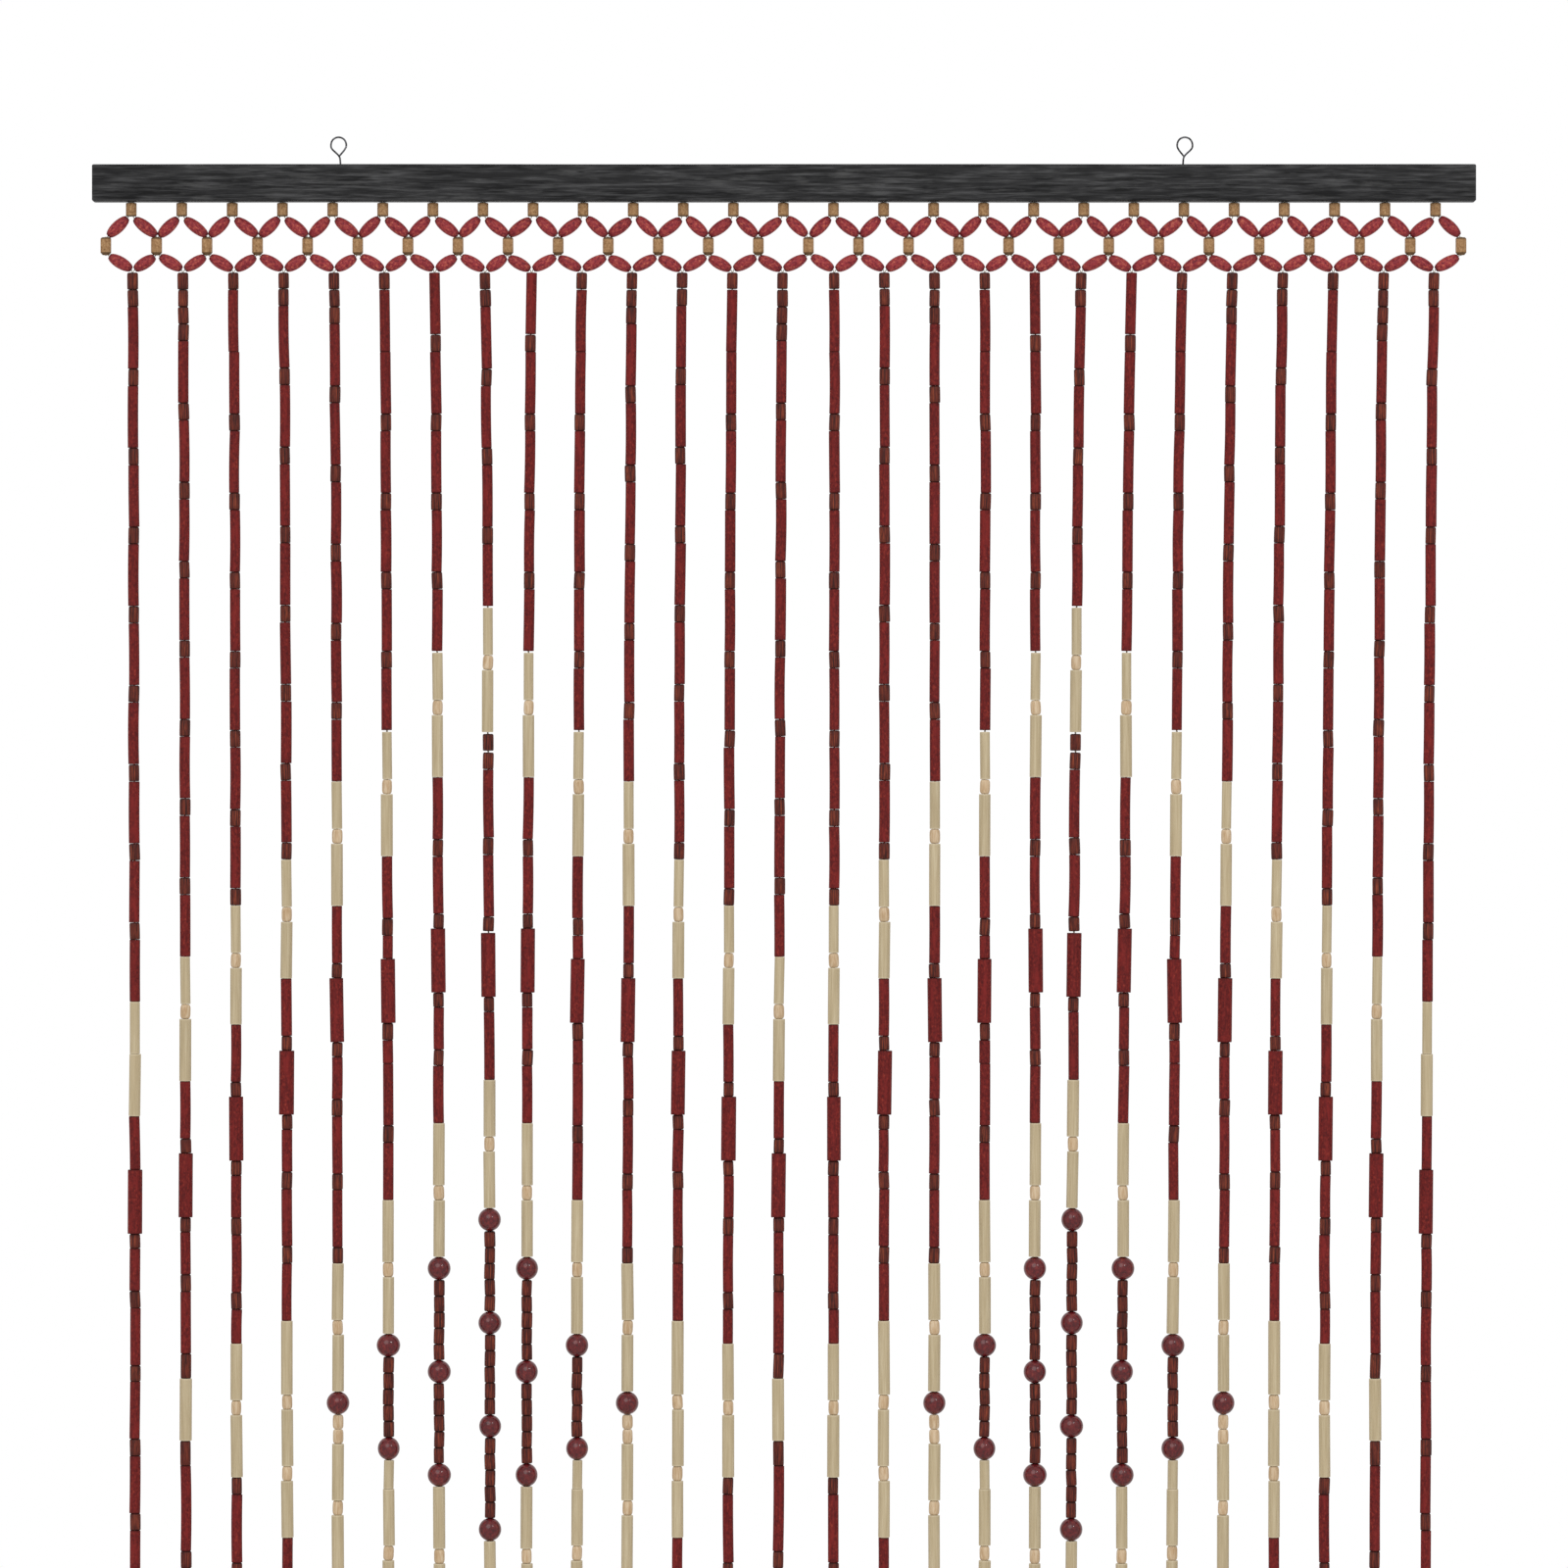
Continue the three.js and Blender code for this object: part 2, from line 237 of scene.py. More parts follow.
class Batch:
    """Beads of one material that move together, gathered into one mesh.

    Each point carries its place in its own bead, for the grain, and its bead's tone and nearness
    to the bead's cut end.
    """

    def __init__(self, name):
        self.name = name
        self.points = []
        self.faces = []
        self.grain = []
        self.tone = []
        self.rim = []

    def add_rings(self, rings, grain, tone, rim, loop):
        """Joins rings of points, shaped (ring, side, 3), into a tube. A loop joins the last to the first."""
        count, sides = rings.shape[:2]
        start = sum(len(block) for block in self.points)
        self.points.append(rings.reshape(-1, 3))
        self.grain.append(grain.reshape(-1, 3))
        self.tone.append(np.full(count * sides, tone))
        self.rim.append(np.repeat(rim, sides))
        low = np.arange(count if loop else count - 1)
        side = np.arange(sides)
        a = low[:, None] * sides + side
        b = low[:, None] * sides + (side + 1) % sides
        c = ((low[:, None] + 1) % count) * sides + (side + 1) % sides
        d = ((low[:, None] + 1) % count) * sides + side
        self.faces.append(np.stack([a, b, c, d], axis=-1).reshape(-1, 4) + start)
        if not loop:
            self.faces.append((side[::-1] + start).reshape(1, -1))
            self.faces.append((side + start + (count - 1) * sides).reshape(1, -1))

    def add_bead(self, profile, foot, head, rng, sides=16, bow=0.0, oval=0.02):
        """A bored bead from foot to head. profile is a closed loop of (radius, height, rim) in mm."""
        axis = (head - foot).normalized()
        first, second = perpendiculars(axis, rng.uniform(0, 2 * math.pi))
        middle = (foot + head) / 2
        radius, height, rim = np.array(profile).T
        half = max(height)
        angle = np.linspace(0, 2 * math.pi, sides, endpoint=False)
        swell = 1 + oval * np.cos(2 * angle + rng.uniform(0, 6)) + oval / 2 * np.cos(3 * angle)
        across = radius[:, None] * np.where(radius[:, None] > HOLE_RADIUS * 1.01, swell, 1)
        bend = bow * (1 - (height / half) ** 2)
        local = np.stack(
            [
                across * np.cos(angle) + bend[:, None],
                across * np.sin(angle),
                np.repeat(height[:, None], sides, axis=1),
            ],
            axis=-1,
        )
        basis = np.array([first, second, axis])
        rings = local @ basis * MM + np.array(middle)
        offset = np.array([rng.uniform(0, 500) for _ in range(3)])
        self.add_rings(rings, local + offset, rng.uniform(-1, 1), rim, loop=True)

    def add_thread(self, route, radius, sides=8):
        """A round thread through the points of route, in metres."""
        places = [Vector(point) for point in route]
        rings = []
        grain = []
        travelled = 0.0
        for i, place in enumerate(places):
            before = places[max(i - 1, 0)]
            after = places[min(i + 1, len(places) - 1)]
            travelled += (place - before).length / MM
            first, second = perpendiculars((after - before).normalized())
            ring = []
            local = []
            for k in range(sides):
                angle = 2 * math.pi * k / sides
                away = first * math.cos(angle) + second * math.sin(angle)
                ring.append(place + away * radius * MM)
                local.append((radius * math.cos(angle), radius * math.sin(angle), travelled))
            rings.append(ring)
            grain.append(local)
        self.add_rings(np.array(rings), np.array(grain), 0.0, np.zeros(len(rings)), loop=False)

    def build(self, material, body, slot, replaced=()):
        if not self.points:
            return
        mesh = bpy.data.meshes.new(self.name)
        points = np.concatenate(self.points)
        faces = [face.tolist() for block in self.faces for face in block]
        mesh.from_pydata(points.tolist(), [], faces)
        mesh.attributes.new("grain", "FLOAT_VECTOR", "POINT")
        mesh.attributes["grain"].data.foreach_set("vector", np.concatenate(self.grain).ravel())
        for name, values in (("tone", self.tone), ("rim", self.rim)):
            mesh.attributes.new(name, "FLOAT", "POINT")
            mesh.attributes[name].data.foreach_set("value", np.concatenate(values))
        mesh.shade_smooth()
        mesh.set_sharp_from_angle(angle=math.radians(40))
        mesh.materials.append(material)
        piece = bpy.data.objects.new(self.name, mesh)
        bpy.context.scene.collection.objects.link(piece)
        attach(piece, body)
        if replaced:
            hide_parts(*replaced)


# --- Bead shapes: closed loops of (radius, height, rim), up the outside and down the bore ----------


def with_bore(outside, half):
    return outside + [(HOLE_RADIUS, half, 1), (HOLE_RADIUS, 0, 1), (HOLE_RADIUS, -half, 1)]


def flipped(points):
    """The same edge at the other end of a bead."""
    return [(radius, -height, rim) for radius, height, rim in reversed(points)]


def tube_profile(length, radius):
    """A straight cut tube with slightly eased ends."""
    half = length / 2
    chamfer = 0.3
    row_height = 6
    rows = max(2, round(length / row_height))
    straight = length - chamfer * 8
    middle = [(radius, -half + chamfer * 4 + straight * i / rows, 0) for i in range(rows + 1)]
    bottom = [
        (radius - chamfer, -half, 1),
        (radius - chamfer * 0.25, -half + chamfer * 0.4, 1),
        (radius, -half + chamfer * 1.4, 0.7),
    ]
    return with_bore(bottom + middle + flipped(bottom), half)


def turned_edge(radius, half, ease):
    """The bottom edge of a barrel, cut back by about ease."""
    return [
        (radius - ease * 1.2, -half, 1),
        (radius - ease * 0.3, -half + ease * 0.7, 1),
        (radius, -half + ease * 1.6, 0.3),
    ]


def barrel_profile(length, radius):
    """A turned barrel, a little full in the middle and chamfered more at its top than at its bottom."""
    half = length / 2
    full = radius * 1.012
    bottom = turned_edge(radius, half, 0.4)
    top = flipped(turned_edge(radius, half, 0.6))
    return with_bore(bottom + [(full, -half * 0.4, 0), (full, half * 0.4, 0)] + top, half)


def natural_profile(length, radius):
    """A bead with straight sides and well rounded corners."""
    half = length / 2
    rows = 14
    reach = 0.47 * math.pi
    outside = []
    for i in range(rows + 1):
        place = math.sin(reach * (2 * i / rows - 1)) / math.sin(reach)
        share = max(0, 1 - place**4) ** 0.45
        outside.append((radius * (0.56 + 0.44 * share), place * half, abs(place) ** 8))
    return with_bore(outside, half)


def ball_profile(length, radius):
    """A ball cut off flat where the bore comes out."""
    half = length / 2
    rows = 18
    reach = math.acos(HOLE_RADIUS * 1.25 / radius)
    outside = []
    for i in range(rows + 1):
        turn = reach * (2 * i / rows - 1)
        height = half * math.sin(turn) / math.sin(reach)
        outside.append((radius * math.cos(turn), height, abs(turn / reach) ** 8))
    return with_bore(outside, half)


def oval_profile(length, radius):
    """A rice-shaped bead with small flat ends."""
    half = length / 2
    rows = 14
    outside = []
    for i in range(rows + 1):
        place = 2 * i / rows - 1
        share = (1 - place * place) ** 0.72
        across = OVAL_END_RADIUS + (radius - OVAL_END_RADIUS) * share
        outside.append((across, place * half, abs(place) ** 6))
    return with_bore(outside, half)


def tan_profile(length, radius, cones):
    """A sawn bead with a cone at each end. cones is the top's width and height, then the bottom's."""
    half = length / 2
    (top_width, top_height), (bottom_width, bottom_height) = cones
    outside = [
        (radius - bottom_width, -half, 1),
        (radius, -half + bottom_height, 1),
        (radius, -half + bottom_height + 0.5, 0.3),
        (radius, half - top_height - 0.6, 0.2),
        (radius, half - top_height, 1),
        (radius - top_width, half, 1),
    ]
    return with_bore(outside, half)


PROFILES = {
    "barrel": barrel_profile,
    "red_tube": tube_profile,
    "wide_tube": tube_profile,
    "cream_tube": tube_profile,
    "natural_bead": natural_profile,
    "ball": ball_profile,
}
SIDES = {"barrel": 16, "red_tube": 16, "wide_tube": 20, "cream_tube": 18, "natural_bead": 18, "ball": 32}


# --- Materials ------------------------------------------------------------------------------------


def rgb(red, green, blue):
    """An sRGB colour from 0 to 255 as a linear colour."""

    def linear(value):
        value /= 255
        return value / 12.92 if value <= 0.04045 else ((value + 0.055) / 1.055) ** 2.4

    return (linear(red), linear(green), linear(blue), 1)


class Shader:
    """A material being built: short calls that add nodes and link them."""

    def __init__(self, name):
        self.material = bpy.data.materials.new(name)
        self.material.use_nodes = True
        self.tree = self.material.node_tree
        self.surface = self.tree.nodes["Principled BSDF"]

    def add(self, kind, inputs=None, **settings):
        node = self.tree.nodes.new("ShaderNode" + kind)
        for name, value in settings.items():
            setattr(node, name, value)
        for name, value in (inputs or {}).items():
            self.feed(node.inputs[name], value)
        return node

    def feed(self, socket, value):
        if isinstance(value, bpy.types.NodeSocket):
            self.tree.links.new(value, socket)
        else:
            socket.default_value = value

    def attribute(self, name):
        return self.add("Attribute", attribute_name=name)

    def stretched(self, place, scale):
        return self.add("Mapping", {"Vector": place, "Scale": scale}).outputs["Vector"]

    def bead_place(self):
        """A point's place in its own bead, in millimetres."""
        return self.attribute("grain").outputs["Vector"]

    def grain(self, across, along):
        """A point's place in its own bead, times across and along."""
        return self.stretched(self.bead_place(), (across, across, along))

    def tone(self):
        return self.attribute("tone").outputs["Fac"]

    def rim(self):
        return self.attribute("rim").outputs["Fac"]

    def noise(self, vector, scale=1.0, detail=3.0, roughness=0.55, distortion=0.0):
        inputs = {
            "Vector": vector,
            "Scale": scale,
            "Detail": detail,
            "Roughness": roughness,
            "Distortion": distortion,
        }
        return self.add("TexNoise", inputs).outputs["Fac"]

    def ramp(self, factor, *stops):
        """Each stop is a place from 0 to 1, and red, green and blue from 0 to 255."""
        node = self.add("ValToRGB", {"Fac": factor})
        elements = node.color_ramp.elements
        while len(elements) < len(stops):
            elements.new(0.5)
        for element, (place, *colour) in zip(elements, stops):
            element.position = place
            element.color = rgb(*colour)
        return node.outputs["Color"]

    def level(self, factor, low, high):
        """factor, from low to high, as 0 to 1."""
        node = self.add("MapRange", {"Value": factor, "From Min": low, "From Max": high})
        node.clamp = True
        return node.outputs["Result"]

    def scaled(self, factor, low, high):
        """factor, from 0 to 1, as low to high."""
        node = self.add("MapRange", {"Value": factor, "To Min": low, "To Max": high})
        return node.outputs["Result"]

    def math(self, operation, *values):
        node = self.add("Math", operation=operation)
        for socket, value in zip(node.inputs, values):
            self.feed(socket, value)
        return node.outputs["Value"]

    def mix(self, factor, first, second):
        node = self.add("Mix", data_type="RGBA")
        self.feed(node.inputs[0], factor)
        self.feed(node.inputs[6], first)
        self.feed(node.inputs[7], second)
        return node.outputs[2]

    def edged(self, colour, amount, edge):
        """The colour turned towards edge by amount at a bead's cut ends."""
        return self.mix(self.math("MULTIPLY", self.rim(), amount), colour, edge)

    def shift(self, colour, amount):
        """The colour made lighter or darker by up to amount, from bead to bead."""
        value = self.math("MULTIPLY_ADD", self.tone(), amount, 1.0)
        node = self.add("HueSaturation", {"Color": colour, "Value": value})
        return node.outputs["Color"]

    def bump(self, height, depth, strength):
        """A rough surface whose depth is in millimetres."""
        node = self.add("Bump", {"Height": height, "Distance": depth * MM, "Strength": strength})
        return node.outputs["Normal"]

    def finish(self, colour, roughness, normal=None, **constants):
        self.feed(self.surface.inputs["Base Color"], colour)
        self.feed(self.surface.inputs["Roughness"], roughness)
        if normal is not None:
            self.feed(self.surface.inputs["Normal"], normal)
        for name, value in constants.items():
            self.surface.inputs[name.replace("_", " ")].default_value = value
        return self.material


def red_tube_material():
    """Dyed bamboo: fine fibres along the tube, a speckle of darker and brighter dye, dark cut ends."""
    shader = Shader("red_tube")
    fibres = shader.noise(shader.grain(1.1, 0.08), detail=4)
    speckle = shader.noise(shader.grain(0.62, 0.5), detail=5, roughness=0.68)
    patches = shader.noise(shader.grain(0.25, 0.06), detail=2)
    colour = shader.ramp(
        speckle,
        (0.34, 74, 18, 19),
        (0.46, 103, 27, 26),
        (0.56, 117, 33, 30),
        (0.7, 150, 58, 44),
    )
    colour = shader.mix(shader.level(fibres, 0.45, 0.75), colour, rgb(86, 21, 22))
    colour = shader.mix(shader.level(patches, 0.5, 0.75), colour, rgb(124, 34, 32))
    colour = shader.edged(colour, 0.55, rgb(52, 16, 15))
    colour = shader.shift(colour, 0.05)
    height = shader.math("ADD", shader.math("MULTIPLY", fibres, 1.4), speckle)
    return shader.finish(
        colour,
        shader.scaled(speckle, 0.45, 0.72),
        shader.bump(height, 0.12, 0.55),
        Specular_IOR_Level=0.15,
    )


def barrel_material():
    """Turned wood with a brown-red stain that sits dark in the grain and on the chamfers."""
    shader = Shader("barrel_wood")
    grain = shader.noise(shader.grain(1.2, 0.05), detail=4, roughness=0.65, distortion=0.3)
    pores = shader.noise(shader.grain(2.2, 0.2), detail=2)
    colour = shader.ramp(
        grain,
        (0.36, 56, 24, 20),
        (0.45, 84, 33, 26),
        (0.54, 106, 43, 31),
        (0.66, 138, 66, 42),
    )
    colour = shader.mix(shader.level(pores, 0.54, 0.7), colour, rgb(48, 21, 17))
    colour = shader.edged(colour, 0.8, rgb(40, 17, 14))
    colour = shader.shift(colour, 0.06)
    return shader.finish(
        colour,
        shader.scaled(grain, 0.34, 0.6),
        shader.bump(shader.math("SUBTRACT", grain, shader.math("MULTIPLY", pores, 0.6)), 0.15, 0.6),
        Specular_IOR_Level=0.18,
    )


def oval_material():
    """Dyed wood: crimson with orange flecks and dark pores, darker where the ends were dipped."""
    shader = Shader("red_oval")
    flecks = shader.noise(shader.grain(0.7, 0.5), detail=5, roughness=0.7)
    pores = shader.noise(shader.grain(1.1, 0.5), detail=3)
    colour = shader.ramp(
        flecks,
        (0.35, 88, 26, 35),
        (0.45, 139, 44, 53),
        (0.55, 158, 60, 60),
        (0.68, 196, 110, 84),
    )
    colour = shader.mix(shader.level(pores, 0.55, 0.72), colour, rgb(108, 30, 36))
    colour = shader.edged(colour, 0.85, rgb(70, 20, 25))
    colour = shader.shift(colour, 0.06)
    return shader.finish(
        colour,
        shader.scaled(pores, 0.35, 0.6),
        shader.bump(shader.math("SUBTRACT", flecks, pores), 0.15, 0.5),
        Specular_IOR_Level=0.18,
    )


def tan_material():
    """Raw wood: a fine speckle, and darker towards both cut ends."""
    shader = Shader("tan_bead")
    speckle = shader.noise(shader.grain(0.8, 0.6), detail=5, roughness=0.7)
    grain = shader.noise(shader.grain(0.8, 0.1), detail=3)
    colour = shader.ramp(
        speckle,
        (0.34, 132, 94, 62),
        (0.46, 172, 132, 90),
        (0.56, 186, 146, 104),
        (0.7, 212, 174, 130),
    )
    colour = shader.mix(shader.level(grain, 0.5, 0.75), colour, rgb(158, 118, 80))
    # Darker towards both cut ends of every tan bead, the spacers' tops under the rail among them
    colour = shader.edged(colour, 0.85, rgb(80, 60, 38))
    colour = shader.shift(colour, 0.05)
    return shader.finish(
        colour,
        shader.scaled(speckle, 0.5, 0.75),
        shader.bump(shader.math("ADD", grain, speckle), 0.15, 0.5),
        Specular_IOR_Level=0.15,
    )


def cream_material():
    """Peeled pale bamboo: long faint fibres and paler sawn rims."""
    shader = Shader("cream_tube")
    fibres = shader.noise(shader.grain(0.7, 0.03), detail=4, roughness=0.6)
    veins = shader.noise(shader.grain(2.4, 0.05), detail=2)
    colour = shader.ramp(
        fibres,
        (0.32, 176, 159, 126),
        (0.48, 186, 169, 136),
        (0.6, 192, 176, 144),
        (0.75, 202, 188, 157),
    )
    colour = shader.mix(shader.level(veins, 0.58, 0.78), colour, rgb(172, 155, 122))
    colour = shader.edged(colour, 0.6, rgb(214, 200, 172))
    colour = shader.shift(colour, 0.025)
    return shader.finish(
        colour,
        shader.scaled(fibres, 0.38, 0.55),
        shader.bump(shader.math("ADD", fibres, veins), 0.1, 0.4),
        Specular_IOR_Level=0.25,
    )


def natural_material():
    """Pale turned wood with soft peach grain and paler ends."""
    shader = Shader("natural_bead")
    grain = shader.noise(shader.grain(0.6, 0.1), detail=4, distortion=0.6)
    colour = shader.ramp(grain, (0.34, 182, 152, 116), (0.5, 198, 171, 137), (0.66, 211, 189, 159))
    colour = shader.edged(colour, 0.6, rgb(228, 212, 186))
    colour = shader.shift(colour, 0.03)
    return shader.finish(
        colour,
        shader.scaled(grain, 0.42, 0.6),
        shader.bump(grain, 0.12, 0.5),
        Specular_IOR_Level=0.2,
    )


def ball_material():
    """Maroon lacquer over mottled wood, glossy, darker round the bore."""
    shader = Shader("maroon_ball")
    mottle = shader.noise(shader.grain(0.45, 0.45), detail=5, roughness=0.7)
    grain = shader.noise(shader.grain(0.9, 0.16), detail=3, distortion=1.0)
    colour = shader.ramp(
        mottle,
        (0.34, 62, 12, 17),
        (0.48, 92, 16, 22),
        (0.58, 108, 26, 28),
        (0.72, 132, 54, 42),
    )
    colour = shader.mix(shader.level(grain, 0.52, 0.75), colour, rgb(74, 16, 22))
    colour = shader.edged(colour, 0.8, rgb(44, 16, 22))
    colour = shader.shift(colour, 0.08)
    return shader.finish(
        colour,
        shader.scaled(mottle, 0.2, 0.36),
        shader.bump(mottle, 0.1, 0.4),
        Specular_IOR_Level=0.3,
        Coat_Weight=0.35,
        Coat_Roughness=0.06,
    )


def string_material():
    """Off-white twisted thread: the twist is a stripe that climbs round it."""
    shader = Shader("string")
    wave = shader.add(
        "TexWave",
        {"Vector": shader.bead_place(), "Scale": 1.6, "Distortion": 0.4},
        wave_type="BANDS",
        bands_direction="DIAGONAL",
    )
    twist = wave.outputs["Fac"]
    fuzz = shader.noise(shader.grain(6.0, 3.0), detail=3)
    colour = shader.ramp(twist, (0.2, 196, 188, 172), (0.7, 230, 224, 210))
    colour = shader.mix(shader.level(fuzz, 0.5, 0.8), colour, rgb(206, 198, 182))
    return shader.finish(
        colour,
        shader.scaled(fuzz, 0.6, 0.85),
        shader.bump(twist, 0.1, 0.6),
        Sheen_Weight=0.3,
    )


def rail_material():
    """Black-stained softwood: an uneven stain, with dark streaks and a few paler rubs along the grain."""
    shader = Shader("stained_rail")
    place = shader.add("TexCoord").outputs["Object"]
    streaks = shader.noise(shader.stretched(place, (42, 620, 620)), detail=5, roughness=0.62, distortion=0.3)
    bands = shader.noise(shader.stretched(place, (14, 260, 260)), detail=3, distortion=0.4)
    fibres = shader.noise(shader.stretched(place, (60, 2600, 2600)), detail=3)
    rubs = shader.noise(shader.stretched(place, (40, 240, 240)), detail=4, roughness=0.6)
    colour = shader.ramp(
        streaks,
        (0.37, 18, 18, 19),
        (0.46, 39, 39, 40),
        (0.54, 51, 51, 52),
        (0.66, 74, 74, 75),
    )
    colour = shader.mix(shader.level(bands, 0.5, 0.7), colour, rgb(30, 30, 31))
    colour = shader.mix(shader.level(rubs, 0.56, 0.8), colour, rgb(74, 74, 74))
    height = shader.math("ADD", shader.math("MULTIPLY", fibres, 0.7), streaks)
    return shader.finish(
        colour,
        shader.scaled(streaks, 0.42, 0.66),
        shader.bump(height, 0.3, 0.5),
        Specular_IOR_Level=0.15,
    )


def steel_material():
    """Plain drawn wire: fine draw marks and dull patches."""
    shader = Shader("steel_wire")
    draw = shader.noise(shader.grain(8, 0.3), detail=3)
    dull = shader.noise(shader.bead_place(), scale=0.6, detail=3)
    colour = shader.ramp(dull, (0.4, 44, 44, 46), (0.58, 104, 104, 107))
    return shader.finish(
        colour,
        shader.scaled(draw, 0.22, 0.42),
        shader.bump(draw, 0.04, 0.5),
        Metallic=1.0,
    )


# --- Rail and screw eyes --------------------------------------------------------------------------


def rounded_section(half_depth, half_height, radius, steps=4):
    """Points round a rectangle with rounded corners, in the YZ plane."""
    corners = ((1, -1, -90), (1, 1, 0), (-1, 1, 90), (-1, -1, 180))
    points = []
    for side, up, start in corners:
        for step in range(steps + 1):
            angle = math.radians(start + 90 * step / steps)
            y = side * (half_depth - radius) + radius * math.cos(angle)
            z = up * (half_height - radius) + radius * math.sin(angle)
            points.append((y, z))
    return points


def rod_mesh(name, rods, sides=16):
    """One mesh of upright rods, each (x, bottom, top, radius) in metres, to cut holes with."""
    points = []
    faces = []
    for x, bottom, top, radius in rods:
        start = len(points)
        for height in (bottom, top):
            for k in range(sides):
                angle = 2 * math.pi * k / sides
                points.append((x + radius * math.cos(angle), radius * math.sin(angle), height))
        for k in range(sides):
            after = (k + 1) % sides
            faces.append([start + k, start + after, start + sides + after, start + sides + k])
        faces.append([start + k for k in reversed(range(sides))])
        faces.append([start + sides + k for k in range(sides)])
    mesh = bpy.data.meshes.new(name)
    mesh.from_pydata(points, [], faces)
    return mesh


def cut_holes(piece, rods):
    cutter = bpy.data.objects.new("cutter", rod_mesh("cutter", rods))
    bpy.context.scene.collection.objects.link(cutter)
    modifier = piece.modifiers.new("holes", "BOOLEAN")
    modifier.object = cutter
    modifier.operation = "DIFFERENCE"
    modifier.solver = "EXACT"
    bpy.context.view_layer.update()
    cut = bpy.data.meshes.new_from_object(piece.evaluated_get(bpy.context.evaluated_depsgraph_get()))
    piece.modifiers.clear()
    piece.data = cut
    bpy.data.objects.remove(cutter)


def eye_place(side):
    """The middle of an eye's loop along the rail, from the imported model."""
    low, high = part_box(side + "_screw_eye")
    return (low.x + high.x) / 2


def rail_shape():
    """The rail's points and faces, very slightly uneven along its length, with eased edges and ends."""
    low, high = RAIL_LOW, RAIL_HIGH
    half_depth = (high.y - low.y) / 2
    half_height = (high.z - low.z) / 2
    middle = (high.z + low.z) / 2
    ease = RAIL_EASE * MM
    section = rounded_section(half_depth, half_height, ease)
    inset = rounded_section(half_depth - ease * 0.6, half_height - ease * 0.6, ease * 0.6)
    between = [((a[0] + b[0] * 2) / 3, (a[1] + b[1] * 2) / 3) for a, b in zip(inset, section)]
    length = high.x - low.x - 2 * ease
    stations = [(low.x, inset), (low.x + ease * 0.3, between), (low.x + ease, section)]
    stations += [(low.x + ease + length * i / RAIL_ROWS, section) for i in range(1, RAIL_ROWS)]
    stations += [(high.x - ease, section), (high.x - ease * 0.3, between), (high.x, inset)]
    points = []
    for x, outline in stations:
        for y, z in outline:
            uneven = noise.noise(Vector((x * 9, y * 60, z * 60))) * RAIL_WEAR * MM
            worn = RAIL_WEAR * MM + uneven
            points.append((x, y * (1 - worn / half_depth), middle + z * (1 - worn / half_height)))
    around = len(section)
    faces = []
    for row in range(0, (len(stations) - 1) * around, around):
        for k in range(around):
            after = (k + 1) % around
            faces.append([row + around + k, row + around + after, row + after, row + k])
    faces.append(list(range(around)))
    faces.append([(len(stations) - 1) * around + k for k in reversed(range(around))])
    return points, faces


def make_rail(material):
    """The rail with all its holes."""
    points, faces = rail_shape()
    mesh = bpy.data.meshes.new("rail_wood")
    mesh.from_pydata(points, [], faces)
    mesh.validate()
    piece = bpy.data.objects.new("rail_wood", mesh)
    bpy.context.scene.collection.objects.link(piece)
    hole = STRING_HOLE_RADIUS * MM
    below = UNDERSIDE - MM
    hole_top = UNDERSIDE + STRING_HOLE_DEPTH * MM
    rods = [(net_x(index), below, hole_top, hole) for index in range(STRANDS)]
    for side, lean in (("left", 1), ("right", -1)):
        x = eye_place(side) + lean * SHANK_OFFSET * MM
        rods.append((x, RAIL_HIGH.z - PILOT_DEPTH * MM, RAIL_HIGH.z + MM, PILOT_RADIUS * MM))
    cut_holes(piece, rods)
    piece.data.shade_smooth()
    piece.data.set_sharp_from_angle(angle=math.radians(35))
    piece.data.materials.clear()
    piece.data.materials.append(material)
    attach(piece, "rail")
    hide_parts("rail")


def eye_route():
    """The wire's centre line in millimetres, from its gimlet point round the loop to its cut end."""

    def loop_point(degrees, y=0.0):
        angle = math.radians(degrees)
        return (LOOP_RADIUS * math.cos(angle), y, LOOP_CENTRE + LOOP_RADIUS * math.sin(angle))

    front = -2.2 * WIRE_RADIUS
    rail_top = RAIL_HIGH.z / MM
    route = [
        (SHANK_OFFSET, 0, rail_top - 10),
        (SHANK_OFFSET, 0, rail_top - 6),
        (SHANK_OFFSET, 0, rail_top - 3),
        (SHANK_OFFSET, 0, rail_top + 2),
        (0.2, 0, NECK_HEIGHT),
    ]
    route += [loop_point(degrees) for degrees in (215, 185, 150, 120, 90, 60, 30, -5)]
    route += [
        loop_point(-35, front / 2),
        (1.5, front, NECK_HEIGHT + 1),
        (0.4, front, NECK_HEIGHT - 0.2),
    ]
    return [Vector(point) for point in route]


def smooth_route(points, steps):
    """A Catmull-Rom curve through points, steps places between each two."""
    ends = [points[0] * 2 - points[1]] + points + [points[-1] * 2 - points[-2]]
    curve = []
    for a, b, c, d in zip(ends, ends[1:], ends[2:], ends[3:]):
        for i in range(steps):
            t = i / steps
            curve.append(
                (
                    b * 2
                    + (c - a) * t
                    + (a * 2 - b * 5 + c * 4 - d) * t * t
                    + (b * 3 - a - c * 3 + d) * t * t * t
                )
                / 2
            )
    curve.append(points[-1])
    return curve


